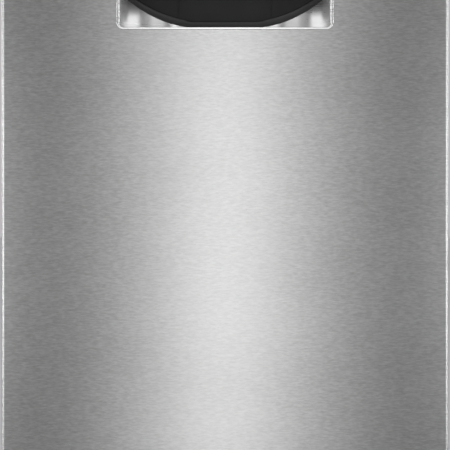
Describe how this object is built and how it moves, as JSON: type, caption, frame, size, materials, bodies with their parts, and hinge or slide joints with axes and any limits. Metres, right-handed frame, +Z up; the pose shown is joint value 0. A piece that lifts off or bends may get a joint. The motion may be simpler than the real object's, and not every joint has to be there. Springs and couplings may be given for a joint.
{
  "type": "built in dishwasher",
  "caption": "Built-in dishwasher: a brushed steel door with a pocket handle swings down, with sliding racks, spray arms, filters and a dispenser behind it.",
  "frame": {"origin": "on the floor, in the middle of the machine's width and depth", "axes": "+Z up; +X to the right seen from the front; the door faces -Y"},
  "size_m": [0.598, 0.6044, 0.86],
  "materials": {
    "brushed_front": "fine horizontal brushing",
    "polished_trim": "polished steel",
    "tub_steel": "bright rolled stainless steel",
    "galvanised": "galvanised steel",
    "spring_steel": "oiled spring wire",
    "black_plastic": "satin black",
    "base_plastic": "moulded, fine grain",
    "grey_plastic": "moulded",
    "light_plastic": "moulded",
    "rack_coating": "thick smooth coating on wire",
    "seal_rubber": "matt"
  },
  "bodies": {
    "cabinet": {"base_tray": "base_plastic", "tub": "tub_steel", "tub_floor": "tub_steel", "tub_gasket": "seal_rubber", "side_panel_left": "galvanised", "side_panel_right": "galvanised", "rear_panel": "galvanised", "top_crossmember": "galvanised", "toe_kick": "black_plastic", "hinge_bracket_left": "galvanised", "hinge_bracket_right": "galvanised", "sump": "grey_plastic", "circulation_pump": "grey_plastic", "drain_pump": "grey_plastic", "inlet_valve": "light_plastic", "coarse_filter": "tub_steel", "feed_tube": "light_plastic", "upper_rail_left": "tub_steel", "upper_rail_right": "tub_steel", "tray_rail_left": "tub_steel", "tray_rail_right": "tub_steel", "door_latch": "black_plastic", "junction_box": "black_plastic", "door_spring_left": "spring_steel", "door_spring_right": "spring_steel"},
    "door": {"door_outer_panel": "brushed_front", "door_inner_liner": "tub_steel", "pocket_trim": "polished_trim", "grip_cup": "black_plastic", "control_fascia": "black_plastic", "bottom_seal": "seal_rubber", "latch_strike": "galvanised", "dispenser_body": "grey_plastic", "hinge_arm_left": "galvanised", "hinge_arm_right": "galvanised"},
    "leveling_foot_front_left": {"leveling_foot_front_left": "black_plastic"},
    "leveling_foot_front_right": {"leveling_foot_front_right": "black_plastic"},
    "leveling_foot_rear_left": {"leveling_foot_rear_left": "black_plastic"},
    "leveling_foot_rear_right": {"leveling_foot_rear_right": "black_plastic"},
    "fine_filter": {"fine_filter": "grey_plastic"},
    "impeller": {"circulation_impeller": "light_plastic"},
    "lower_spray": {"lower_spray_arm": "light_plastic"},
    "ceiling_spray": {"ceiling_spray_arm": "light_plastic"},
    "lower_rack": {"lower_rack": "rack_coating"},
    "rack_wheel_front_left": {"rack_wheel_front_left": "grey_plastic"},
    "rack_wheel_rear_left": {"rack_wheel_rear_left": "grey_plastic"},
    "rack_wheel_front_right": {"rack_wheel_front_right": "grey_plastic"},
    "rack_wheel_rear_right": {"rack_wheel_rear_right": "grey_plastic"},
    "fold_tines": {"fold_tines": "rack_coating"},
    "cutlery_basket": {"cutlery_basket": "rack_coating"},
    "upper_rack": {"upper_rack": "rack_coating"},
    "upper_spray": {"upper_spray_arm": "light_plastic"},
    "cup_shelf_left": {"cup_shelf_left": "grey_plastic"},
    "cup_shelf_right": {"cup_shelf_right": "grey_plastic"},
    "cutlery_tray": {"cutlery_tray": "rack_coating"},
    "detergent_lid": {"detergent_lid": "light_plastic"},
    "rinse_aid_cap": {"rinse_aid_cap": "grey_plastic"},
    "power_button": {"power_button": "grey_plastic"},
    "program_button": {"program_button": "grey_plastic"},
    "start_button": {"start_button": "grey_plastic"}
  },
  "joints": [
    {"name": "door_hinge", "type": "hinge", "parent": "cabinet", "child": "door", "pos_m": [0, -0.2835, 0.128], "axis": [1, 0, 0], "range_deg": [0, 90], "stiffness_Nm_per_rad": 18, "deforming": ["door_spring_left", "door_spring_right"]},
    {"name": "foot_turn_front_left", "type": "hinge", "parent": "cabinet", "child": "leveling_foot_front_left", "pos_m": [-0.27, -0.17, 0], "axis": [0, 0, 1], "continuous": true},
    {"name": "foot_turn_front_right", "type": "hinge", "parent": "cabinet", "child": "leveling_foot_front_right", "pos_m": [0.27, -0.17, 0], "axis": [0, 0, 1], "continuous": true},
    {"name": "foot_turn_rear_left", "type": "hinge", "parent": "cabinet", "child": "leveling_foot_rear_left", "pos_m": [-0.27, 0.272, 0], "axis": [0, 0, 1], "continuous": true},
    {"name": "foot_turn_rear_right", "type": "hinge", "parent": "cabinet", "child": "leveling_foot_rear_right", "pos_m": [0.27, 0.272, 0], "axis": [0, 0, 1], "continuous": true},
    {"name": "fine_filter_twist", "type": "hinge", "parent": "cabinet", "child": "fine_filter", "pos_m": [0.062, 0.005, 0.176], "axis": [0, 0, 1], "range_deg": [0, 60]},
    {"name": "impeller_spin", "type": "hinge", "parent": "cabinet", "child": "impeller", "pos_m": [-0.1225, 0.005, 0.11], "axis": [1, 0, 0], "continuous": true},
    {"name": "lower_spray_spin", "type": "hinge", "parent": "cabinet", "child": "lower_spray", "pos_m": [0, 0.005, 0.19], "axis": [0, 0, 1], "continuous": true},
    {"name": "ceiling_spray_spin", "type": "hinge", "parent": "cabinet", "child": "ceiling_spray", "pos_m": [0, 0, 0.8], "axis": [0, 0, 1], "continuous": true},
    {"name": "lower_rack_slide", "type": "slide", "parent": "cabinet", "child": "lower_rack", "axis": [0, -1, 0], "range_m": [0, 0.28]},
    {"name": "wheel_roll_front_left", "type": "hinge", "parent": "lower_rack", "child": "rack_wheel_front_left", "pos_m": [-0.256, -0.06, 0.1845], "axis": [1, 0, 0], "range_deg": [0, 900]},
    {"name": "wheel_roll_rear_left", "type": "hinge", "parent": "lower_rack", "child": "rack_wheel_rear_left", "pos_m": [-0.256, 0.15, 0.1845], "axis": [1, 0, 0], "range_deg": [0, 900]},
    {"name": "wheel_roll_front_right", "type": "hinge", "parent": "lower_rack", "child": "rack_wheel_front_right", "pos_m": [0.256, -0.06, 0.1845], "axis": [1, 0, 0], "range_deg": [0, 900]},
    {"name": "wheel_roll_rear_right", "type": "hinge", "parent": "lower_rack", "child": "rack_wheel_rear_right", "pos_m": [0.256, 0.15, 0.1845], "axis": [1, 0, 0], "range_deg": [0, 900]},
    {"name": "fold_tines_fold", "type": "hinge", "parent": "lower_rack", "child": "fold_tines", "pos_m": [0.052, 0.075, 0.23], "axis": [1, 0, 0], "range_deg": [0, 85]},
    {"name": "cutlery_basket_lift", "type": "slide", "parent": "lower_rack", "child": "cutlery_basket", "axis": [0, 0, 1], "range_m": [0, 0.06]},
    {"name": "upper_rack_slide", "type": "slide", "parent": "cabinet", "child": "upper_rack", "axis": [0, -1, 0], "range_m": [0, 0.46]},
    {"name": "upper_spray_spin", "type": "hinge", "parent": "upper_rack", "child": "upper_spray", "pos_m": [0, 0, 0.522], "axis": [0, 0, 1], "continuous": true},
    {"name": "cup_shelf_fold_left", "type": "hinge", "parent": "upper_rack", "child": "cup_shelf_left", "pos_m": [-0.238, 0, 0.668], "axis": [0, -1, 0], "range_deg": [0, 80]},
    {"name": "cup_shelf_fold_right", "type": "hinge", "parent": "upper_rack", "child": "cup_shelf_right", "pos_m": [0.238, 0, 0.668], "axis": [0, 1, 0], "range_deg": [0, 80]},
    {"name": "cutlery_tray_slide", "type": "slide", "parent": "cabinet", "child": "cutlery_tray", "axis": [0, -1, 0], "range_m": [0, 0.46]},
    {"name": "detergent_lid_slide", "type": "slide", "parent": "door", "child": "detergent_lid", "axis": [0, 0, -1], "range_m": [0, 0.06]},
    {"name": "rinse_aid_cap_twist", "type": "hinge", "parent": "door", "child": "rinse_aid_cap", "pos_m": [0.058, -0.2436, 0.56], "axis": [0, 1, 0], "range_deg": [0, 90]},
    {"name": "power_button_press", "type": "slide", "parent": "door", "child": "power_button", "axis": [0, 0, -1], "range_m": [0, 0.0012], "stiffness_N_per_m": 500},
    {"name": "program_button_press", "type": "slide", "parent": "door", "child": "program_button", "axis": [0, 0, -1], "range_m": [0, 0.0012], "stiffness_N_per_m": 500},
    {"name": "start_button_press", "type": "slide", "parent": "door", "child": "start_button", "axis": [0, 0, -1], "range_m": [0, 0.0012], "stiffness_N_per_m": 500}
  ],
  "couplings": [
    {"joint": "lower_rack_slide", "follows": "door_hinge", "m_per_rad": 0.17},
    {"joint": "wheel_roll_front_left", "follows": "door_hinge", "ratio": 8.9474},
    {"joint": "wheel_roll_rear_left", "follows": "door_hinge", "ratio": 8.9474},
    {"joint": "wheel_roll_front_right", "follows": "door_hinge", "ratio": 8.9474},
    {"joint": "wheel_roll_rear_right", "follows": "door_hinge", "ratio": 8.9474},
    {"joint": "upper_rack_slide", "follows": "door_hinge", "m_per_rad": 0.286},
    {"joint": "cutlery_tray_slide", "follows": "door_hinge", "m_per_rad": 0.286}
  ]
}
